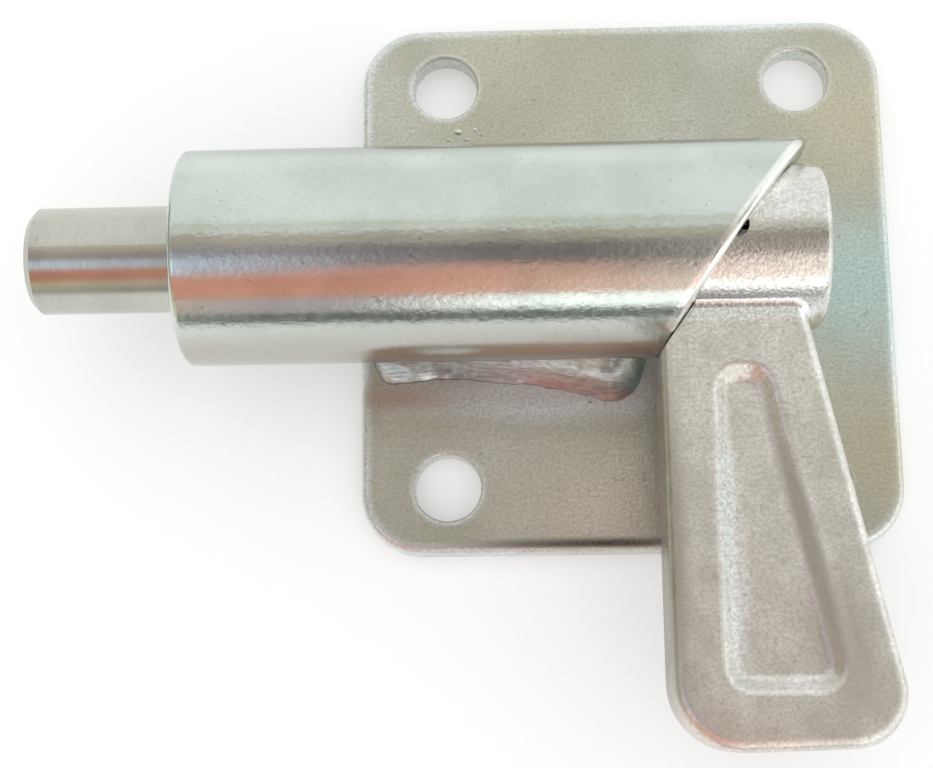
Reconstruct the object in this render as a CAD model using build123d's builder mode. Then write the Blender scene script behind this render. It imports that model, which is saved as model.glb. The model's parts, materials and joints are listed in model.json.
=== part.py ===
from build123d import *
import os
from math import cos, radians, sqrt, tan

os.makedirs("parts", exist_ok=True)

# Spring bolt. Millimetres. The origin is the centre of the plate's back face, +Z points away from
# the mounting surface, the bolt shoots out along -X and the handle hangs along -Y.

# Fixing plate
plate_width = 65.0
plate_height = 67.0
plate_thickness = 3.0
plate_corner_radius = 7.5
plate_edge_roll = 1.0
hole_diameter = 8.0
hole_rim_roll = 0.4
hole_spacing_x = 44.0
hole_spacing_y = 51.0

# Barrel: a tube laid across the plate, with a square mouth and a slant-cut cam end
barrel_diameter = 25.0
barrel_wall = 2.8
barrel_seat_gap = 0.05
mouth_reach = 51.5
mouth_edge_round = 0.8
cam_reach = 12.0
cam_angle = 35.6
cam_edge_round = 0.65

# Weld beads between the tube and the plate
weld_root_gap = 1.5
weld_end_margin = 0.9
weld_cam_margin = 0.4
weld_rise_offset = 4.5
weld_bulge = 0.35
weld_bite = 0.4
# how far the toe of the bead stands beyond the side of the tube, at even steps along it
lower_weld_toes = [-0.3, 0.25, -0.3, -0.05, 0.4, 0.85, 1.8, 2.7, 0.8]
upper_weld_toes = [-2.3, 0.1, 0.4, 0.1, -0.2, 0.2, 0.5, 0.3, -0.6]

# Bolt
nose_length = 17.8
nose_diameter = 12.4
nose_chamfer = 0.8
guide_diameter = 12.9
guide_lead = 0.3
tail_diameter = 8.0
tail_end_gap = 0.5

# Guides, spring and its seats inside the bore
bush_recess = 0.5
bush_length = 7.5
bush_chamfer = 0.4
guide_clearance = 0.05
shoulder_gap = 0.5
running_gap = 0.05
washer_thickness = 1.5
washer_bore_clearance = 0.15
washer_rim_clearance = 0.3
spring_mean_radius = 7.0
spring_wire = 1.6
spring_turns = 5.5
stop_thickness = 2.0
stop_bore_clearance = 0.2
snap_ring_width = 1.2
snap_ring_depth = 1.5
snap_ring_gap = 7.0
groove_depth = 0.6

# Handle: one casting, a round hub and a flat lever
hub_clearance = 0.2
hub_engagement = 7.5
hub_to_ring = 0.8
hub_tip_margin = 0.6
hub_rear_round = 0.9
hub_front_chamfer = 0.6
hub_floor = 5.0
hub_bore_clearance = 0.05
lever_length = 56.9
lever_thickness = 10.8
lever_edge_round = 1.4
lever_foot_slope = 1.5
lever_taper = 11.8
lever_root_step = 2.5
lever_root_fillet = 1.2
lever_heel_radius = 7.5
lever_toe_radius = 6.0
lever_hidden_root = 3.0
flank_gap = 0.1
flank_overhang = 0.6
recess_rim = 5.6
recess_foot_rim = 6.4
recess_depth = 1.3
recess_wall_slope = 50.0
recess_start = 5.3
recess_top_radius = 2.9
recess_round_share = 0.48
recess_foot_radius = 3.0
recess_floor_round = 1.5
recess_brim_round = 1.0

# Roll pin through the hub and the bolt's tail
cross_hole_diameter = 3.0
cross_hole_setback = 1.1
roll_pin_clearance = 0.02
roll_pin_wall = 0.6
roll_pin_slot = 0.5
roll_pin_length = 16.0

# Radii that follow from the sizes above
barrel_radius = barrel_diameter / 2
bore_radius = barrel_radius - barrel_wall
groove_radius = bore_radius + groove_depth
nose_radius = nose_diameter / 2
guide_radius = guide_diameter / 2
tail_radius = tail_diameter / 2
wire_radius = spring_wire / 2
hub_radius = bore_radius - hub_clearance
hub_bore_radius = tail_radius + hub_bore_clearance
lever_half = lever_thickness / 2
cross_hole_radius = cross_hole_diameter / 2
roll_pin_radius = cross_hole_radius - roll_pin_clearance

# Height of the barrel's axis and the slant of its end
axis_z = plate_thickness + barrel_seat_gap + barrel_radius
cam_slope = tan(radians(cam_angle))

# Stations along the barrel's axis, from the mouth to the rear end of the hub
mouth = -mouth_reach
nose_tip = mouth - nose_length
guide_start = mouth - guide_lead
bush_front = mouth + bush_recess
bush_rear = bush_front + bush_length
shoulder = bush_rear + shoulder_gap
washer_front = shoulder + running_gap
spring_front = washer_front + washer_thickness
cam_short_side = cam_reach - cam_slope * barrel_radius
cam_tip = cam_reach + cam_slope * barrel_radius
hub_front = cam_short_side - hub_engagement
hub_rear = cam_tip + hub_tip_margin
ring_rear = hub_front - hub_to_ring
ring_front = ring_rear - snap_ring_width
stop_front = ring_front - stop_thickness
spring_length = stop_front - spring_front
hub_bore_end = hub_rear - hub_floor
tail_end = hub_bore_end - tail_end_gap
cross_hole_x = cam_reach - cross_hole_setback

barrel_axis = Axis((0, 0, axis_z), (1, 0, 0))
cam_plane = Plane(origin=(cam_reach, 0, axis_z), x_dir=(0, 0, 1), z_dir=(1, -cam_slope, 0))
axial_section = Plane(origin=(0, 0, axis_z), x_dir=(1, 0, 0), z_dir=(0, -1, 0))


def station(x):
    """A plane square to the barrel's axis: its own x runs along Y, its own y along Z."""
    return Plane(origin=(x, 0, axis_z), x_dir=(0, 1, 0), z_dir=(1, 0, 0))


def annulus(outer_radius, inner_radius):
    Circle(outer_radius)
    Circle(inner_radius, mode=Mode.SUBTRACT)


# Fixing plate with four holes, its front edges rolled over by the blanking die
with BuildPart() as base_plate:
    with BuildSketch():
        RectangleRounded(plate_width, plate_height, plate_corner_radius)
        with GridLocations(hole_spacing_x, hole_spacing_y, 2, 2):
            Circle(hole_diameter / 2, mode=Mode.SUBTRACT)
    extrude(amount=plate_thickness)
    plate_front = base_plate.faces().sort_by(Axis.Z)[-1]
    fillet(plate_front.outer_wire().edges(), plate_edge_roll)
    hole_rims = base_plate.edges().filter_by(GeomType.CIRCLE).group_by(Axis.Z)[-1]
    fillet(hole_rims.filter_by(lambda rim: rim.is_closed), hole_rim_roll)
base_plate.part.label = "base_plate"
export_step(base_plate.part, "parts/base_plate.step")

# Barrel: the slanted end is the cam that the handle's flank climbs
with BuildPart() as barrel:
    with BuildSketch(station(mouth)):
        annulus(barrel_radius, bore_radius)
    extrude(amount=cam_tip - mouth)
    split(bisect_by=cam_plane, keep=Keep.BOTTOM)
    with BuildSketch(station(ring_front)):
        annulus(groove_radius, bore_radius - groove_depth)
    extrude(amount=snap_ring_width, mode=Mode.SUBTRACT)
    mouth_rim = barrel.edges().filter_by(GeomType.CIRCLE).group_by(Axis.X)[0].sort_by(SortBy.RADIUS)[-1]
    fillet(mouth_rim, mouth_edge_round)
    fillet(barrel.faces().filter_by(GeomType.PLANE).sort_by(Axis.X)[-1].edges(), cam_edge_round)
barrel.part.label = "barrel"
export_step(barrel.part, "parts/barrel.step")


def weld_section(side, stand_out):
    """Section of a fillet weld: from the root beside the tangent line out to its toe and up the tube."""
    plate_level = -barrel_radius - barrel_seat_gap
    root = sqrt(barrel_radius**2 - (barrel_radius - weld_root_gap) ** 2)
    toe = barrel_radius + stand_out
    rise = plate_level + weld_rise_offset + stand_out
    tube_side = sqrt(barrel_radius**2 - rise**2) - weld_bite
    crown = ((toe + tube_side) / 2 + weld_bulge, (plate_level + rise) / 2 + weld_bulge)
    with BuildLine() as bead:
        Polyline(
            (side * tube_side, rise),
            (side * root, plate_level + weld_root_gap + weld_bite),
            (side * root, plate_level),
            (side * toe, plate_level),
        )
        ThreePointArc((side * toe, plate_level), (side * crown[0], crown[1]), (side * tube_side, rise))
    make_face(bead.edges())


weld_start = -plate_width / 2 + weld_end_margin
weld_length = cam_short_side - weld_cam_margin - weld_start

# Weld beads: sections lofted along the tube and cut back to its round side
with BuildPart() as lower_weld:
    for step, toe_stand_out in enumerate(lower_weld_toes):
        with BuildSketch(station(weld_start + weld_length * step / (len(lower_weld_toes) - 1))):
            weld_section(-1, toe_stand_out)
    loft()
    with BuildSketch(station(weld_start)):
        Circle(barrel_radius)
    extrude(amount=weld_length, mode=Mode.SUBTRACT)
lower_weld.part.label = "lower_weld"
export_step(lower_weld.part, "parts/lower_weld.step")

with BuildPart() as upper_weld:
    for step, toe_stand_out in enumerate(upper_weld_toes):
        with BuildSketch(station(weld_start + weld_length * step / (len(upper_weld_toes) - 1))):
            weld_section(1, toe_stand_out)
    loft()
    with BuildSketch(station(weld_start)):
        Circle(barrel_radius)
    extrude(amount=weld_length, mode=Mode.SUBTRACT)
upper_weld.part.label = "upper_weld"
export_step(upper_weld.part, "parts/upper_weld.step")

# Bush pressed into the mouth, guides the bolt
with BuildPart() as nose_bush:
    with BuildSketch(station(bush_front)):
        annulus(bore_radius, guide_radius + guide_clearance)
    extrude(amount=bush_length)
    bush_mouth = nose_bush.faces().sort_by(Axis.X)[0]
    chamfer(bush_mouth.inner_wires()[0].edges(), bush_chamfer)
nose_bush.part.label = "nose_bush"
export_step(nose_bush.part, "parts/nose_bush.step")

# Loose washer between the bolt's shoulder and the spring
with BuildPart() as thrust_washer:
    with BuildSketch(station(washer_front)):
        annulus(bore_radius - washer_rim_clearance, tail_radius + washer_bore_clearance)
    extrude(amount=washer_thickness)
thrust_washer.part.label = "thrust_washer"
export_step(thrust_washer.part, "parts/thrust_washer.step")

# Compression spring, its ends ground flat
with BuildPart() as spring:
    with BuildLine() as coil:
        Helix(
            pitch=spring_length / spring_turns,
            height=spring_length,
            radius=spring_mean_radius,
            center=(spring_front, 0, axis_z),
            direction=(1, 0, 0),
        )
    with BuildSketch(Plane(origin=coil.line @ 0, z_dir=coil.line % 0)):
        Circle(wire_radius)
    sweep(is_frenet=True)
    split(bisect_by=station(spring_front), keep=Keep.TOP)
    split(bisect_by=station(stop_front), keep=Keep.BOTTOM)
spring.part.label = "spring"
export_step(spring.part, "parts/spring.step")

# Fixed rear seat of the spring and the snap ring that holds it
with BuildPart() as stop_washer:
    with BuildSketch(station(stop_front)):
        annulus(bore_radius, tail_radius + stop_bore_clearance)
    extrude(amount=stop_thickness)
stop_washer.part.label = "stop_washer"
export_step(stop_washer.part, "parts/stop_washer.step")

with BuildPart() as retaining_ring:
    with BuildSketch(station(ring_front)):
        annulus(groove_radius, bore_radius - snap_ring_depth)
        with Locations((0, groove_radius)):
            Rectangle(snap_ring_gap, 2 * groove_radius, mode=Mode.SUBTRACT)
    extrude(amount=snap_ring_width)
retaining_ring.part.label = "retaining_ring"
export_step(retaining_ring.part, "parts/retaining_ring.step")

# Bolt: nose, guided stretch, shoulder for the spring and a thin tail that carries the handle
with BuildPart() as bolt_pin:
    with BuildSketch(axial_section):
        with BuildLine():
            Polyline(
                (nose_tip, 0),
                (nose_tip, nose_radius - nose_chamfer),
                (nose_tip + nose_chamfer, nose_radius),
                (guide_start, nose_radius),
                (guide_start, guide_radius),
                (shoulder, guide_radius),
                (shoulder, tail_radius),
                (tail_end, tail_radius),
                (tail_end, 0),
                close=True,
            )
        make_face()
    revolve(axis=barrel_axis)
    with Locations((cross_hole_x, 0, axis_z)):
        Hole(cross_hole_radius)
bolt_pin.part.label = "bolt_pin"
export_step(bolt_pin.part, "parts/bolt_pin.step")

# Space that the barrel's wall takes in front of the handle's flank
with BuildPart() as barrel_space:
    with BuildSketch(station(mouth)):
        annulus(lever_length, hub_radius)
    extrude(amount=cam_tip + lever_length * cam_slope - mouth)
    split(bisect_by=cam_plane.offset(flank_gap), keep=Keep.BOTTOM)

# Outline of the lever: the left edge drops from the flank's outer corner, the right edge flares
lever_left = cam_reach - cam_slope * (barrel_radius + flank_overhang)
lever_root_right = hub_rear - lever_root_step
lever_flare = tan(radians(lever_taper))
foot_slope = tan(radians(lever_foot_slope))


def right_edge(y):
    return lever_root_right + (-hub_radius - y) * lever_flare


# Handle casting
with BuildPart() as handle:
    with BuildSketch(Plane.XY.offset(axis_z)) as lever_outline:
        with BuildLine():
            foot_right = right_edge(-lever_length)
            Polyline(
                (lever_left, -lever_hidden_root),
                (lever_left, -lever_length),
                (foot_right, -lever_length + (foot_right - lever_left) * foot_slope),
                (right_edge(-lever_hidden_root), -lever_hidden_root),
                close=True,
            )
        make_face()
        fillet(lever_outline.vertices().sort_by(Axis.Y)[0], lever_heel_radius)
        fillet(lever_outline.vertices().sort_by(Axis.X)[-1], lever_toe_radius)
    extrude(amount=lever_half, both=True)
    lever_faces = handle.faces().filter_by(Axis.Z).sort_by(Axis.Z)
    fillet(lever_faces[0].edges() + lever_faces[-1].edges(), lever_edge_round)
    with BuildSketch(station(hub_front)):
        Circle(hub_radius)
    extrude(amount=hub_rear - hub_front)
    hub_side = handle.faces().filter_by(GeomType.CYLINDER).sort_by(lambda face: face.radius)[-1]
    fillet(hub_side.edges().filter_by(lambda edge: not edge.is_closed and edge.center().Y < 0), lever_root_fillet)
    add(barrel_space.part, mode=Mode.SUBTRACT)
    hub_rims = handle.edges().filter_by(lambda rim: rim.is_closed).sort_by(Axis.X)
    fillet(hub_rims[-1], hub_rear_round)
    chamfer(hub_rims[0], hub_front_chamfer)
    with BuildSketch(station(hub_front)):
        Circle(hub_bore_radius)
    extrude(amount=hub_bore_end - hub_front, mode=Mode.SUBTRACT)
    with Locations((cross_hole_x, 0, axis_z)):
        Hole(cross_hole_radius)
    recess_left = lever_left + recess_rim
    recess_top = -hub_radius - recess_start
    recess_foot = -lever_length + recess_foot_rim
    rim_across = recess_rim / cos(radians(lever_taper))
    recess_top_width = right_edge(recess_top) - rim_across - recess_left
    recess_top_round = min(recess_top_radius, recess_top_width * recess_round_share)
    with BuildSketch(Plane.XY.offset(axis_z + lever_half)) as recess_outline:
        with BuildLine():
            Polyline(
                (recess_left, recess_top),
                (recess_left, recess_foot),
                (right_edge(recess_foot) - rim_across, recess_foot),
                (right_edge(recess_top) - rim_across, recess_top),
                close=True,
            )
        make_face()
        fillet(recess_outline.vertices().group_by(Axis.Y)[0], recess_foot_radius)
        fillet(recess_outline.vertices().group_by(Axis.Y)[-1], recess_top_round)
    extrude(amount=-recess_depth, taper=recess_wall_slope, mode=Mode.SUBTRACT)
    fillet(handle.faces().filter_by(Axis.Z).sort_by(Axis.Z)[-2].edges(), recess_floor_round)
    recess_brim = handle.faces().filter_by(Axis.Z).sort_by(Axis.Z)[-1].inner_wires()[0]
    fillet(recess_brim.edges(), recess_brim_round)
handle.part.label = "handle"
export_step(handle.part, "parts/handle.step")

# Roll pin: a slit tube, sunk a little at both ends
with BuildPart() as roll_pin:
    with BuildSketch(Plane(origin=(cross_hole_x, 0, axis_z - roll_pin_length / 2))):
        annulus(roll_pin_radius, roll_pin_radius - roll_pin_wall)
        with Locations((roll_pin_radius, 0)):
            Rectangle(2 * roll_pin_radius, roll_pin_slot, mode=Mode.SUBTRACT)
    extrude(amount=roll_pin_length)
roll_pin.part.label = "roll_pin"
export_step(roll_pin.part, "parts/roll_pin.step")
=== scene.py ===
import json
import math

import bpy
import numpy as np
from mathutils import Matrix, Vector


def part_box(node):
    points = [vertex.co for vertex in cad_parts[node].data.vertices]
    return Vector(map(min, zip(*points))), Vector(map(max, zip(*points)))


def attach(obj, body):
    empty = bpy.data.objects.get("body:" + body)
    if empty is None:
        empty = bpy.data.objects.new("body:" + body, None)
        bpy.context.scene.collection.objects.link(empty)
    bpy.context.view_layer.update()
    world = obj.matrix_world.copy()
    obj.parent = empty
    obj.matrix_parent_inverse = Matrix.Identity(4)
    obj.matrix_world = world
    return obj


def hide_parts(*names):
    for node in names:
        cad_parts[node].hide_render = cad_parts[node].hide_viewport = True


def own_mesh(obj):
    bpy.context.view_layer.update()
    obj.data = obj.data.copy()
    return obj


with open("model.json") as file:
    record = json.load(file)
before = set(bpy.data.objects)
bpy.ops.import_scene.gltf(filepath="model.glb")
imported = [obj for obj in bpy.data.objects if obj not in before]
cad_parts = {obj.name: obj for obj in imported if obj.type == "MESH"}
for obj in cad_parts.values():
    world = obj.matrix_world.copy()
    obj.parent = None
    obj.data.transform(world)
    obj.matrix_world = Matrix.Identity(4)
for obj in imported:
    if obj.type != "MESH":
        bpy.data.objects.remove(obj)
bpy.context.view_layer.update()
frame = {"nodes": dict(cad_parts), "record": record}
nodes = frame["nodes"]
scene = bpy.context.scene
scene.view_settings.view_transform = "Standard"
mm = 0.001

# Places that the other pieces are set from, read off the frame
barrelLow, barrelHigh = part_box("barrel")
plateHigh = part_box("base_plate")[1]
plateFace = plateHigh.z
tubeAxis = (barrelLow.z + barrelHigh.z) / 2
tubeRadius = (barrelHigh.y - barrelLow.y) / 2
print("frame loaded:", len(nodes), "nodes")


def metres(lengths):
    return [length * mm for length in lengths]


class Wire:
    # One output socket. Arithmetic on it adds Math nodes to its tree.
    def __init__(self, tree, socket):
        self.tree = tree
        self.socket = socket

    @staticmethod
    def node(tree, kind, settings, sockets, output=0):
        # Settings come first, because some of them change which sockets the node has
        made = tree.nodes.new(kind)
        for key, value in settings.items():
            setattr(made, key, value)
        for key, value in sockets.items():
            if isinstance(value, Wire):
                tree.links.new(value.socket, made.inputs[key])
            else:
                made.inputs[key].default_value = value
        return Wire(tree, made.outputs[output]) if len(made.outputs) else made

    def sibling(self, output):
        # Another output of the same node
        return Wire(self.tree, self.socket.node.outputs[output])

    def maths(self, operation, other):
        return Wire.node(self.tree, "ShaderNodeMath", {"operation": operation}, {0: self, 1: other})

    def __add__(self, other):
        return self.maths("ADD", other)

    __radd__ = __add__

    def __mul__(self, other):
        return self.maths("MULTIPLY", other)

    __rmul__ = __mul__

    def __sub__(self, other):
        return self.maths("SUBTRACT", other)

    def __rsub__(self, other):
        return Wire.node(self.tree, "ShaderNodeMath", {"operation": "SUBTRACT"}, {0: other, 1: self})

    def ramped(self, low, high):
        # 0 below low, 1 above high, eased between
        return Wire.node(self.tree, "ShaderNodeMapRange", {"interpolation_type": "SMOOTHSTEP"},
                         {"Value": self, "From Min": low, "From Max": high})

    def vectorMaths(self, operation, *terms, output="Vector"):
        sockets = dict(enumerate((self, *terms)))
        return Wire.node(self.tree, "ShaderNodeVectorMath", {"operation": operation}, sockets, output)

    def axis(self, name):
        return Wire.node(self.tree, "ShaderNodeSeparateXYZ", {}, {"Vector": self}, name)


def newMaterial(name):
    material = bpy.data.materials.new(name)
    material.use_nodes = True
    material.node_tree.nodes.clear()
    return material, material.node_tree


def objectPlace(tree):
    return Wire.node(tree, "ShaderNodeTexCoord", {}, {}, "Object")


def opaque(colour):
    # A colour socket takes four numbers
    return colour if isinstance(colour, Wire) else (*colour, 1.0)


def mixColour(tree, share, first, second, blend="MIX"):
    # 0 is the factor's socket, 6 and 7 are the colours', and output 2 is the mixed colour
    return Wire.node(tree, "ShaderNodeMix", {"data_type": "RGBA", "blend_type": blend},
                     {0: share, 6: opaque(first), 7: opaque(second)}, 2)


def noise(place, size, detail, stretch=(1.0, 1.0, 1.0)):
    # size is the pattern's length in mm, and stretch draws it out along an axis
    scale = [1 / (size * mm * s) for s in stretch]
    spread = Wire.node(place.tree, "ShaderNodeMapping", {}, {"Vector": place, "Scale": scale})
    sockets = {"Vector": spread, "Scale": 1.0, "Detail": detail}
    return Wire.node(place.tree, "ShaderNodeTexNoise", {}, sockets)


def patch(place, centre, radii, heart, turn=0.0):
    # An ellipsoid, turned about z, 1 at its heart and fading out to its surface
    local = Wire.node(place.tree, "ShaderNodeMapping", {"vector_type": "TEXTURE"}, {
        "Vector": place, "Location": metres(centre), "Rotation": (0.0, 0.0, math.radians(turn)),
        "Scale": metres(radii)})
    return 1 - local.vectorMaths("LENGTH", output="Value").ramped(heart, 1.0)


def flatReach(place, corner, clipped):
    # Distance in the plate's plane from a corner point, all four quarters folded into one.
    # Clipped, only what lies outside the corner counts.
    offset = place.vectorMaths("ABSOLUTE").vectorMaths("SUBTRACT", (*corner, 0.0))
    if clipped:
        offset = offset.vectorMaths("MAXIMUM", (0.0, 0.0, 0.0))
    level = offset.vectorMaths("MULTIPLY", (1.0, 1.0, 0.0))
    return level.vectorMaths("LENGTH", output="Value")


def paintedRimHighlight(place, rims):
    # 1 on the plate's rolled outer edge and round its holes, where the rims' painted highlight goes
    corner = rims["corner"] * mm
    outer = flatReach(place, (plateHigh.x - corner, plateHigh.y - corner), True)
    hole = flatReach(place, metres(rims["holes"]), False)
    roll = outer.ramped(corner - rims["band"][0] * mm, corner - rims["band"][1] * mm)
    return roll.maths("MAXIMUM", 1 - hole.ramped(*metres(rims["holeBand"])))


def slantRim(place, cut):
    # 1 at the tube's slant cut, by the distance from the cut's plane, which passes through the tube's tip
    along = place.axis("X")
    slant = math.radians(cut["slant"])
    depth = (along - barrelHigh.x) * math.cos(slant) - (along.sibling("Y") - tubeRadius) * math.sin(slant)
    return depth.ramped(*metres(cut["band"]))


def metalColour(place, grain, cloud, look):
    # Two shades in soft clouds, then a painted highlight on the rims, a painted highlight on the cut, local
    # tints that mostly paint reflections, highlights and shade, dark specks and the grain
    tree = place.tree
    colour = mixColour(tree, cloud.ramped(*look["cloudRange"]), look["dark"], look["pale"])
    if look["rims"]:
        rims = look["rims"]
        # Painted highlight on the plate's rolled edge and round its holes
        rimHighlight = paintedRimHighlight(place, rims) * (rims["even"] + cloud) * rims["share"]
        colour = mixColour(tree, rimHighlight, colour, rims["tint"])
    if look["cut"]:
        cut = look["cut"]
        # Painted highlight along the tube's slant cut
        colour = mixColour(tree, slantRim(place, cut) * cut["share"], colour, cut["tint"])
    # Local patches of painted reflection, highlight and shade, some partly the zinc's own tint
    for centre, radii, tint, strength, *turn in look["tintsAndPaintedLight"]:
        spot = patch(place, centre, radii, look["patchHeart"], *turn)
        colour = mixColour(tree, spot * (look["patchEven"] + cloud) * strength, colour, tint)
    specks = noise(place, look["speck"], look["speckDetail"]).ramped(*look["speckRange"])
    colour = mixColour(tree, specks * look["speckShare"], colour, look["speckColour"])
    shade = grain.ramped(*look["grainRange"]) * look["grainShade"]
    return mixColour(tree, shade, colour, look["grainColour"])


def metalRoughness(place, grain, cloud, look):
    # The grain and the clouds vary it, matt patches add to it, and a polish lowers it towards +y
    low, high = look["rough"]
    rough = low + (high - low) * grain + look["cloudRough"] * cloud
    for centre, radii, more, *turn in look["matt"]:
        rough = rough + more * patch(place, centre, radii, look["patchHeart"], *turn)
    if look["polish"]:
        polish = look["polish"]
        shine = place.axis("Y").ramped(*metres(polish["band"]))
        rough = rough * (1 - polish["share"] * shine)
    return rough


def metalFinish(name, look):
    # Zinc-plated or bare steel, its grain in colour, gloss and relief
    material, tree = newMaterial(name)
    place = objectPlace(tree)
    grain = noise(place, look["grain"], look["detail"], look["drawn"])
    cloud = noise(place, look["cloud"], look["detail"])
    relief = Wire.node(tree, "ShaderNodeBump", {},
                       {"Strength": 1.0, "Distance": look["relief"] * mm, "Height": grain})
    metal = Wire.node(tree, "ShaderNodeBsdfPrincipled", {}, {
        "Base Color": metalColour(place, grain, cloud, look), "Metallic": 1.0,
        "Roughness": metalRoughness(place, grain, cloud, look), "Normal": relief})
    Wire.node(tree, "ShaderNodeOutputMaterial", {}, {"Surface": metal})
    return material


# Lengths are in mm. A tint patch is its centre, radii, tint, strength and any turn about z in degrees; most
# tint patches are painted reflection, highlight and shade, a few are partly the zinc's own tint.
# A matt patch is its centre, radii, added roughness and any such turn.
# The even values are the share of a tint patch or of a painted rim highlight that the clouds leave alone.
plainLook = dict(
    dark=(0.40, 0.40, 0.36), pale=(0.48, 0.48, 0.43), cloud=14.0, cloudRange=(0.35, 0.65), detail=3.0,
    grain=0.5, drawn=(1.0, 1.0, 1.0), grainRange=(0.3, 0.7), grainShade=0.2, grainColour=(0.30, 0.30, 0.27),
    speck=1.1, speckDetail=1.0, speckRange=(0.70, 0.76), speckShare=0.5, speckColour=(0.20, 0.19, 0.17),
    rough=(0.30, 0.42), cloudRough=0.05, relief=0.02, polish=None, rims=None, cut=None,
    tintsAndPaintedLight=[], patchHeart=0.0, patchEven=0.5, matt=[])

plateLook = dict(
    plainLook, dark=(0.53, 0.545, 0.47), pale=(0.66, 0.685, 0.615), rough=(0.28, 0.44), relief=0.036,
    grain=0.38, grainRange=(0.2, 0.8), grainShade=0.5, grainColour=(0.36, 0.35, 0.29), speckShare=0.25,
    tintsAndPaintedLight=[
        ((-10, 26, 3), (26, 20, 9), (0.60, 0.58, 0.41), 0.6),  # olive, upper left, partly the zinc's own tint and partly painted reflection
        ((28, 20, 3), (18, 18, 9), (0.68, 0.64, 0.45), 0.7),  # yellow, upper right, partly the zinc's own tint and partly painted reflection
        ((29, -1, 3), (14, 15, 9), (0.60, 0.79, 0.77), 1.1),  # blue, beside the hub, partly the zinc's own tint and partly painted reflection
        ((30, -22, 3), (12, 12, 9), (0.64, 0.60, 0.42), 0.7),  # yellow, beside the lever, partly the zinc's own tint and partly painted reflection
        ((-4, -28, 3), (20, 12, 9), (0.78, 0.72, 0.65), 1.0),  # painted pink reflection and painted light, lower edge
        ((-14, -20, 3), (24, 9, 9), (0.70, 0.70, 0.65), 0.6),  # painted grey reflection, below the tube
        ((-10, -14.5, 3), (24, 4.5, 9), (0.86, 0.95, 1.0), 1.5),  # painted pale highlight, along the weld
        ((-28, -14.5, 3), (9, 2.4, 9), (0.66, 0.49, 0.45), 0.7),  # painted copper reflection, at the weld's left end
        ((-6, -32.4, 2.9), (20, 1.0, 1.6), (0.06, 0.06, 0.06), 1.2)],  # painted dark reflection, on the lower rim
    # The rims' tint is a painted highlight on the rolled edge and round the holes
    rims=dict(corner=7.5, band=(1.7, 0.7), holes=(22, 25.5), holeBand=(4.2, 5.0),
              tint=(0.86, 0.93, 0.93), share=1.0, even=0.4))

tubeLook = dict(
    plainLook, dark=(0.56, 0.63, 0.58), pale=(0.65, 0.72, 0.67), cloud=11.0, rough=(0.10, 0.22),
    relief=0.022, grain=0.55, drawn=(1.3, 1.0, 1.0), grainShade=0.10, grainColour=(0.42, 0.43, 0.41),
    speck=0.8, speckRange=(0.72, 0.77), speckShare=0.35, speckColour=(0.30, 0.29, 0.28), patchHeart=0.5,
    tintsAndPaintedLight=[
        ((-15, -13, 13), (90, 6, 16), (0.50, 0.48, 0.43), 0.9),  # painted darker reflection, lower flank
        ((-15, 13.5, 13), (90, 6.5, 20), (0.32, 0.33, 0.31), 1.0)],  # painted shade, upper flank
    # The cut's tint is a painted highlight along the slant cut
    cut=dict(slant=35.6, band=(-0.75, -0.35), tint=(0.95, 0.97, 0.93), share=0.9))

boltLook = dict(
    plainLook, dark=(0.50, 0.51, 0.45), pale=(0.57, 0.58, 0.51), cloud=9.0, rough=(0.14, 0.28), relief=0.006,
    grain=0.4, drawn=(1.0, 3.0, 3.0), grainShade=0.10, speckShare=0.2)

handleLook = dict(
    plainLook, dark=(0.76, 0.765, 0.71), pale=(0.92, 0.93, 0.89), cloud=4.0, rough=(0.26, 0.44),
    relief=0.036, grain=0.38, grainRange=(0.18, 0.82), grainShade=0.75, grainColour=(0.51, 0.49, 0.44),
    speck=0.9, speckRange=(0.62, 0.72), speckShare=0.35, speckColour=(0.42, 0.39, 0.34),
    polish=dict(band=(-13, -8), share=0.5), patchHeart=0.3,
    tintsAndPaintedLight=[
        ((8, -57, 15), (16, 9, 12), (0.90, 0.74, 0.67), 0.7),  # painted pink reflection, lever's lower end
        ((12, 0, 20), (15, 12, 14), (0.90, 0.92, 0.90), 0.9),  # painted highlight, hub
        ((20.5, -45, 21), (5, 11, 5), (0.58, 0.54, 0.49), 0.8, 14.2),  # painted shade, lever's right side
        ((2.0, -34, 15), (4.0, 32, 16), (0.27, 0.26, 0.18), 1.0),  # painted dark olive shade, lever's left flank
        ((14.0, -36, 19.6), (4.5, 22, 1.2), (0.95, 0.95, 0.91), 0.45, 8.0),  # painted highlight, recess floor
        ((9.4, -34.5, 20), (1.7, 23, 5), (0.90, 0.97, 0.98), 1.0, 2.5),  # painted pale reflection, recess, left wall
        ((18.0, -34.5, 20), (1.6, 22, 5), (0.52, 0.54, 0.49), 1.0, 14.2),  # painted shade, recess, right wall
        ((17, -1.3, 24), (11, 2.8, 6), (0.55, 0.56, 0.50), 0.9),  # painted dark reflection band along the hub
        ((12, -8.9, 21), (14, 1.5, 4), (0.95, 1.0, 1.0), 1.5)],  # painted highlight where the lever leaves the hub
    matt=[
        ((9.4, -34.5, 20), (2.4, 23, 5), 0.3, 2.5),  # recess, left wall
        ((18.0, -34.5, 20), (2.2, 22, 5), 0.25, 14.2)])  # recess, right wall

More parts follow.
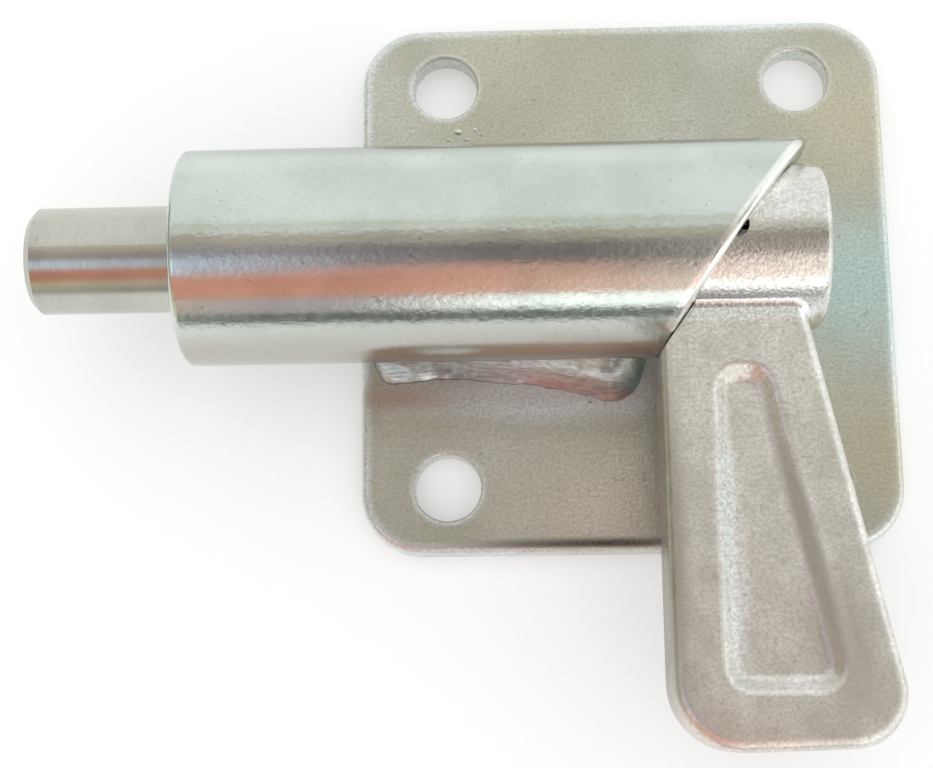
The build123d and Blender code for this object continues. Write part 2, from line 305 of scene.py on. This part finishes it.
weldLook = dict(
    plainLook, dark=(0.42, 0.42, 0.39), pale=(0.58, 0.59, 0.55), cloud=4.0, rough=(0.16, 0.32), relief=0.05,
    drawn=(5.0, 1.0, 1.0), grainShade=0.5, grainColour=(0.25, 0.235, 0.235), speckShare=0.2,
    tintsAndPaintedLight=[
        ((-9, -13, 5), (18, 8, 7), (0.84, 0.82, 0.83), 1.0),  # painted highlight, paler lower bead
        ((-19.6, 19.2, 3), (4, 2.2, 3), (0.88, 0.89, 0.85), 1.6),  # painted highlight, spatter
        ((-1.2, -14.6, 3.6), (4.5, 1.8, 2.5), (0.68, 0.42, 0.35), 0.9),  # painted copper reflection, at the right
        ((-7.8, -13.6, 3.8), (9.5, 1.6, 3), (0.66, 0.41, 0.34), 0.9, -9.7),  # painted copper reflection, streak
        ((-28.0, -11.5, 4.2), (2.6, 1.5, 2.4), (0.86, 0.98, 1.0), 2.5, -25),  # painted highlight, crater, left end
        ((1.4, -13, 5), (2.4, 4.5, 4), (0.38, 0.60, 0.64), 1.0)],  # blue, right end
    matt=[
        ((-28.0, -11.5, 4.2), (2.6, 1.5, 2.4), 0.8, -25),  # crater
        ((-4.5, -13.8, 5.0), (2.0, 1.0, 1.5), 0.3),  # middle of the lower bead
        ((-19.6, 19.2, 3), (4, 2.2, 3), 0.4)])  # spatter

bushLook = dict(
    plainLook, dark=(0.42, 0.41, 0.39), pale=(0.52, 0.51, 0.49), cloud=5.0, rough=(0.22, 0.36), relief=0.006,
    grain=0.3, drawn=(1.0, 3.0, 3.0))

springLook = dict(
    plainLook, dark=(0.20, 0.20, 0.21), pale=(0.30, 0.30, 0.31), cloud=4.0, rough=(0.26, 0.40), relief=0.008,
    grain=0.35)

# By the record's material slots
finishes = {
    "plate_zinc": metalFinish("plateZinc", plateLook),
    "tube_zinc": metalFinish("tubeZinc", tubeLook),
    "bolt_zinc": metalFinish("boltZinc", boltLook),
    "handle_zinc": metalFinish("handleZinc", handleLook),
    "weld_zinc": metalFinish("weldZinc", weldLook),
    "bush_steel": metalFinish("bushSteel", bushLook),
    "spring_steel": metalFinish("springSteel", springLook)}

for part in frame["record"]["subparts"]:
    for materialSlot in nodes[part["node"]].material_slots:
        materialSlot.material = finishes[part["material_slot"]]
print("finishes on the CAD pieces:", len(finishes))


def ringShell(rings):
    # rings[i, j] is point j of closed ring i. Quads join neighbouring rings, and a fan to its middle closes
    # each end. If the signed volume says that the faces point inwards, every face is turned round.
    count, around = rings.shape[:2]
    points = np.concatenate([rings.reshape(-1, 3), rings[:1].mean(1), rings[-1:].mean(1)])
    index = np.arange(count * around).reshape(count, around)
    after = np.roll(index, -1, 1)
    quads = np.stack([index[:-1], after[:-1], after[1:], index[1:]], -1).reshape(-1, 4)
    firstMiddle = np.full(around, count * around)
    lastMiddle = firstMiddle + 1
    firstFan = np.stack([firstMiddle, after[0], index[0]], -1)
    lastFan = np.stack([lastMiddle, index[-1], after[-1]], -1)
    fans = np.concatenate([firstFan, lastFan])
    triangles = points[np.concatenate([quads[:, [0, 1, 2]], quads[:, [0, 2, 3]], fans])]
    volume = np.einsum("ij,ij->", triangles[:, 0], np.cross(triangles[:, 1], triangles[:, 2]))
    turned = slice(None, None, -1 if volume < 0 else 1)
    return points, quads[:, turned], fans[:, turned]


def addPiece(name, shells, slot, *replaced):
    # Joins closed shells into one mesh that rides on the housing
    points, faces, base = [], [], 0
    for shellPoints, quads, fans in shells:
        points.append(shellPoints)
        faces += (quads + base).tolist() + (fans + base).tolist()
        base += len(shellPoints)
    mesh = bpy.data.meshes.new(name)
    mesh.from_pydata(np.concatenate(points).tolist(), [], faces)
    mesh.polygons.foreach_set("use_smooth", np.ones(len(mesh.polygons), bool))
    mesh.materials.append(finishes[slot])
    mesh.update()
    piece = bpy.data.objects.new(name, mesh)
    scene.collection.objects.link(piece)
    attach(piece, "housing")
    if replaced:
        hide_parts(*replaced)
    return piece


# Fillet welds, in mm: how far the toe stands out past the tube's side, and the crown of the face, both at
# even steps along the bead
lowerWeld = dict(node="lower_weld", side=-1, seed=4,
                 toes=[-0.3, 0.25, -0.3, -0.05, 0.4, 0.85, 1.8, 2.7, 0.8],
                 crowns=[-0.2, -0.5, -0.4, -0.1, 0.1, 0.4, 0.8, 0.8, -0.3])
upperWeld = dict(node="upper_weld", side=1, seed=9,
                 toes=[-2.3, 0.1, 0.4, 0.1, -0.2, 0.2, 0.5, 0.3, -0.6],
                 crowns=[-0.2, 0.2, 0.4, 0.3, 0.1, 0.3, 0.4, 0.2, -0.2])
weldShape = dict(steps=260, across=22, backSteps=8, rise=4.5, rootGap=1.5, sink=0.05,
                 ripple=0.02, ripplePitch=1.3, rippleBow=2.0, rippleMiddle=0.4,
                 raggedness=0.14, raggedWaves=(5, 9, 16), raggedPower=5,
                 endRound=2.6, endShare=0.02, heartOut=0.5)


def smoothThrough(values, share):
    # Catmull-Rom curve through evenly spaced values
    values = np.asarray(values, float)
    padded = np.concatenate([[2 * values[0] - values[1]], values, [2 * values[-1] - values[-2]]])
    spot = share * (len(values) - 1)
    lower = np.clip(spot.astype(int), 0, len(values) - 2)
    t = spot - lower
    a, b, c, d = (padded[lower + k] for k in range(4))
    return 0.5 * (2 * b + (c - a) * t + (2 * a - 5 * b + 4 * c - d) * t**2 + (3 * b - a - 3 * c + d) * t**3)


def weldBead(weld, shape):
    # Each ring runs down the outer face from the tube to the toe, back along the plate to below the root,
    # and up the tube. The face is crowned or hollowed as a half sine, with ripples that bow along the bead.
    low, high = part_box(weld["node"])
    chance = np.random.RandomState(weld["seed"])
    share = np.linspace(0, 1, shape["steps"])
    along = low.x + share * (high.x - low.x)
    ragged = sum(np.sin(2 * np.pi * (share * waves + chance.rand())) / math.sqrt(waves)
                 for waves in shape["raggedWaves"])
    # Corners of the section, as the distance out from the tube's axis and the height
    sink = shape["sink"] * mm
    standOut = smoothThrough(weld["toes"], share) * mm
    rise = shape["rise"] * mm + standOut
    tubeTopZ = plateFace + rise - tubeAxis
    tubeTop = np.stack([np.sqrt(tubeRadius**2 - tubeTopZ**2) - sink, tubeTopZ + tubeAxis], -1)
    toe = np.stack([tubeRadius + standOut, np.full_like(standOut, plateFace)], -1)
    rootZ = shape["rootGap"] * mm + plateFace
    root = np.array([math.sqrt(tubeRadius**2 - (tubeAxis - rootZ) ** 2) - sink, rootZ])
    # Outer face, raised square to a slope of 45 degrees, its toe ragged
    down = np.linspace(0, 1, shape["across"])[None, :]
    face = tubeTop[:, None] * (1 - down[..., None]) + toe[:, None] * down[..., None]
    bow = shape["rippleBow"] * (down - shape["rippleMiddle"]) ** 2
    phase = along[:, None] / (shape["ripplePitch"] * mm) + bow
    wave = np.sin(2 * np.pi * phase) * shape["ripple"] + smoothThrough(weld["crowns"], share)[:, None]
    face = face + (wave * np.sin(np.pi * down) * mm)[..., None] * np.sqrt(0.5)
    face[..., 0] += ragged[:, None] * shape["raggedness"] * mm * down ** shape["raggedPower"]
    # Back along the plate and up the tube
    back = np.linspace(0, 1, shape["backSteps"])[None, 1:-1]
    floor = face[:, -1:] * (1 - back[..., None]) + np.array([root[0], plateFace]) * back[..., None]
    rootAngle = np.arctan2(root[1] - tubeAxis, root[0])
    topAngle = np.arctan2(tubeTop[:, 1] - tubeAxis, tubeTop[:, 0])[:, None]
    climb = rootAngle * (1 - back) + topAngle * back
    reach = tubeRadius - sink
    wall = np.stack([reach * np.cos(climb), tubeAxis + reach * np.sin(climb)], -1)
    section = np.concatenate([face, floor, wall], 1)
    # The ends draw in to a point beside the root as quarter circles
    ends = np.minimum(along - low.x, high.x - along) / (shape["endRound"] * mm)
    draw = np.sqrt(1 - (1 - np.clip(ends, 0.0, 1.0)) ** 2)[:, None, None]
    heart = np.array([root[0] + shape["heartOut"] * mm, plateFace])
    section = heart + (section - heart) * np.maximum(draw, shape["endShare"])
    alongRings = np.broadcast_to(along[:, None], section.shape[:2])
    rings = np.stack([alongRings, weld["side"] * section[..., 0], section[..., 1]], -1)
    addPiece(weld["node"] + "Bead", [ringShell(rings)], "weld_zinc", weld["node"])


for weld in (lowerWeld, upperWeld):
    weldBead(weld, weldShape)
print("weld beads made")

# Weld spatter on the plate: place from the plate's centre, half length along x, half width, all in mm.
# top is the share of the way to its crown at which a bead is closed.
spatter = dict(beads=[(-20.4, 19.6, 0.50, 0.42), (-18.3, 19.9, 0.30, 0.28), (-17.5, 19.2, 0.24, 0.22),
                      (-19.3, 18.6, 0.60, 0.24), (-21.6, 18.5, 0.34, 0.18), (-4.7, -15.4, 0.32, 0.26)],
               flatness=0.7, sink=0.06, rings=7, around=14, top=0.98)


def spatterBead(bead, look):
    # A half ellipsoid on the plate, its foot ring a little below the face
    x, y, halfLength, halfWidth = bead
    lift = np.linspace(0, np.pi / 2 * look["top"], look["rings"])[:, None]
    turn = np.linspace(0, 2 * np.pi, look["around"], endpoint=False)[None, :]
    dome = np.stack(np.broadcast_arrays(
        x + halfLength * np.cos(lift) * np.cos(turn),
        y + halfWidth * np.cos(lift) * np.sin(turn),
        look["flatness"] * halfWidth * np.sin(lift) - look["sink"]), -1) * mm
    return ringShell(dome + np.array([0, 0, plateFace]))


addPiece("weldSpatter", [spatterBead(bead, spatter) for bead in spatter["beads"]], "weld_zinc")
print("spatter made")

# Compression spring, in mm, its ends ground flat
coil = dict(turns=5.5, meanRadius=7.0, wire=1.6, steps=420, around=14)


def springCoil(look):
    # A circle of the wire's radius is carried along a helix about the tube's axis, and the ends are cut flat
    low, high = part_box("spring")
    turn = np.linspace(0, 2 * np.pi * look["turns"], look["steps"])[:, None]
    rim = np.linspace(0, 2 * np.pi, look["around"], endpoint=False)[None, :]
    wire = look["wire"] * mm / 2
    radius = look["meanRadius"] * mm + wire * np.cos(rim)
    centre = low.x + (high.x - low.x) * turn / turn[-1]
    along = np.clip(centre + wire * np.sin(rim), low.x, high.x)
    rings = np.stack([along, radius * np.cos(turn), tubeAxis + radius * np.sin(turn)], -1)
    piece = addPiece("springCoil", [ringShell(rings)], "spring_steel", "spring")
    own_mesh(piece)


springCoil(coil)
print("spring made")

# Camera: lengths in mm, turned about x, y and z in degrees, as fitted to the plate's edges and holes
cameraFit = dict(place=(-12.114, -54.084, 198.065), turned=(11.92, 2.32, -0.51),
                 lens=63.22, sensor=36.0, nearest=10.0)


def addCamera(fit):
    data = bpy.data.cameras.new("camera")
    data.lens = fit["lens"]
    data.sensor_width = fit["sensor"]
    data.sensor_fit = "HORIZONTAL"
    data.clip_start = fit["nearest"] * mm
    camera = bpy.data.objects.new("camera", data)
    camera.location = metres(fit["place"])
    camera.rotation_euler = [math.radians(angle) for angle in fit["turned"]]
    scene.collection.objects.link(camera)
    scene.camera = camera


addCamera(cameraFit)
print("camera set")

# Studio, in metres: a white surround, and cards arched over the object along its tube, which the camera
# doesn't see. A card's span is in degrees from straight up, positive towards the plate's upper edge.
# Its reach is in shares of archHalf, and its colours are given at places along x.
studio = dict(light=1.0, archRadius=0.8, archHalf=1.5, archSteps=12,
              floorHalf=2.5, floorLevel=-0.00006, floorColour=(0.86, 0.86, 0.86), floorLift=0.2)
archCards = {
    "oliveCard": dict(span=(14, 19), reach=(-1, 1), inset=0.0, colours=[(0, (0.64, 0.62, 0.48))]),
    "brownCard": dict(span=(-4, 9), reach=(-1, 1), inset=0.0, colours=[
        (0.01, (0.52, 0.43, 0.36)), (0.06, (0.68, 0.58, 0.47)),
        (0.09, (0.68, 0.58, 0.47)), (0.13, (0.38, 0.38, 0.33))]),
    "lensFlag": dict(span=(-26, -4), reach=(-1, 1), inset=0.0, colours=[
        (-0.25, (0.42, 0.37, 0.43)), (-0.05, (0.21, 0.16, 0.16)),
        (0.09, (0.21, 0.175, 0.175)), (0.13, (0.74, 0.68, 0.63))]),
    "duskCard": dict(span=(-38, -26), reach=(0.005, 0.07), inset=0.01, colours=[
        (0.01, (0.93, 0.52, 0.41)), (0.045, (0.46, 0.31, 0.28))]),
    "skyCard": dict(span=(-33, -14), reach=(-1, -0.08), inset=0.01, colours=[
        (-0.29, (0.92, 1.06, 1.30)), (-0.13, (0.46, 0.39, 0.42))]),
    "copperCard": dict(span=(-59, -26), reach=(-1, 1), inset=0.0, colours=[
        (-0.08, (0.78, 0.33, 0.24)), (0.05, (0.98, 0.58, 0.46)), (0.14, (1.2, 1.13, 1.08))]),
    "purpleCard": dict(span=(-75, -59), reach=(-1, 1), inset=0.0, colours=[
        (-0.26, (0.82, 0.72, 0.50)), (-0.225, (0.55, 0.42, 0.45)),
        (-0.10, (0.52, 0.41, 0.46)), (-0.01, (1.7, 1.72, 1.7))]),
    "horizonCard": dict(span=(-90, -76), reach=(-1, 1), inset=0.0, colours=[
        (-0.26, (0.62, 0.60, 0.50)), (-0.225, (0.13, 0.125, 0.125)),
        (0.09, (0.13, 0.125, 0.125)), (0.13, (0.48, 0.48, 0.50))])}
cardMottle = dict(size=70.0, detail=3.0, stretch=(1.0, 0.6, 0.6), middle=0.5, contrast=1.6)  # size in mm
sideCards = {
    "leftCard": dict(half=0.8, heights=(0.0, 0.75), away=-1.1, colours=[(0, (0.42, 0.40, 0.28))]),
    "rightLamp": dict(half=0.8, heights=(0.02, 0.75), away=1.1, colours=[(0, (1.3, 1.32, 1.3))])}


def glowing(name, colours, mottle=None):
    # Each colour passes into the next along x, and a mottle makes the whole patchy
    material, tree = newMaterial(name)
    place = objectPlace(tree)
    along = place.axis("X")
    colour = colours[0][1]
    for (start, _), (end, shade) in zip(colours, colours[1:]):
        colour = mixColour(tree, along.ramped(start, end), colour, shade)
    if mottle:
        patchy = noise(place, mottle["size"], mottle["detail"], mottle["stretch"])
        level = 1 + mottle["contrast"] * (patchy - mottle["middle"])
        grey = Wire.node(tree, "ShaderNodeCombineXYZ", {}, dict.fromkeys("XYZ", level))
        colour = mixColour(tree, 1.0, colour, grey, "MULTIPLY")
    glow = Wire.node(tree, "ShaderNodeEmission", {}, {"Color": opaque(colour)})
    Wire.node(tree, "ShaderNodeOutputMaterial", {}, {"Surface": glow})
    return material


def sheetSurface(name, grid, material):
    # grid[i, j] is a point of an open sheet, with quads between neighbours
    rows, columns = grid.shape[:2]
    index = np.arange(rows * columns).reshape(rows, columns)
    quads = np.stack([index[:-1, :-1], index[1:, :-1], index[1:, 1:], index[:-1, 1:]], -1).reshape(-1, 4)
    mesh = bpy.data.meshes.new(name)
    mesh.from_pydata(grid.reshape(-1, 3).tolist(), [], quads.tolist())
    mesh.materials.append(material)
    sheet = bpy.data.objects.new(name, mesh)
    scene.collection.objects.link(sheet)
    return sheet


def hideCard(card):
    # Seen in the metal only: neither the camera nor the matt floor takes anything from it
    card.visible_camera = False
    card.visible_diffuse = False
    card.visible_shadow = False


def addArchCard(name, card):
    # A strip of a cylinder about the tube's axis
    angle = np.radians(np.linspace(*card["span"], studio["archSteps"]))[:, None]
    along = np.array(card["reach"])[None, :] * studio["archHalf"]
    radius = studio["archRadius"] - card["inset"]
    arch = np.stack(np.broadcast_arrays(
        along, radius * np.sin(angle), tubeAxis + radius * np.cos(angle)), -1)
    hideCard(sheetSurface(name, arch, glowing(name, card["colours"], cardMottle)))


def addSideCard(name, card):
    # An upright rectangle off one end of the tube
    half = card["half"]
    corners = np.array([[[card["away"], y, z] for z in card["heights"]] for y in (-half, half)])
    hideCard(sheetSurface(name, corners, glowing(name, card["colours"])))


def addFloor():
    # A matt square, lifted towards white where the camera or the metal sees it
    material, tree = newMaterial("paleFloor")
    path = Wire.node(tree, "ShaderNodeLightPath", {}, {}, "Is Camera Ray")
    seen = path.maths("MAXIMUM", path.sibling("Is Glossy Ray"))
    matt = Wire.node(tree, "ShaderNodeBsdfDiffuse", {}, {"Color": opaque(studio["floorColour"])})
    lift = Wire.node(tree, "ShaderNodeEmission", {}, {"Strength": studio["floorLift"]})
    lifted = Wire.node(tree, "ShaderNodeAddShader", {}, {0: matt, 1: lift})
    surface = Wire.node(tree, "ShaderNodeMixShader", {}, {0: seen, 1: matt, 2: lifted})
    Wire.node(tree, "ShaderNodeOutputMaterial", {}, {"Surface": surface})
    half = studio["floorHalf"]
    corners = np.array([[[x, y, studio["floorLevel"]] for y in (-half, half)] for x in (half, -half)])
    sheetSurface("floor", corners, material)


def addSurround():
    world = bpy.data.worlds.new("surround")
    world.use_nodes = True
    tree = world.node_tree
    tree.nodes.clear()
    light = Wire.node(tree, "ShaderNodeBackground", {}, {"Color": (1, 1, 1, 1), "Strength": studio["light"]})
    Wire.node(tree, "ShaderNodeOutputWorld", {}, {"Surface": light})
    scene.world = world


for cardName, card in archCards.items():
    addArchCard(cardName, card)
for cardName, card in sideCards.items():
    addSideCard(cardName, card)
addFloor()
addSurround()
print("studio set")
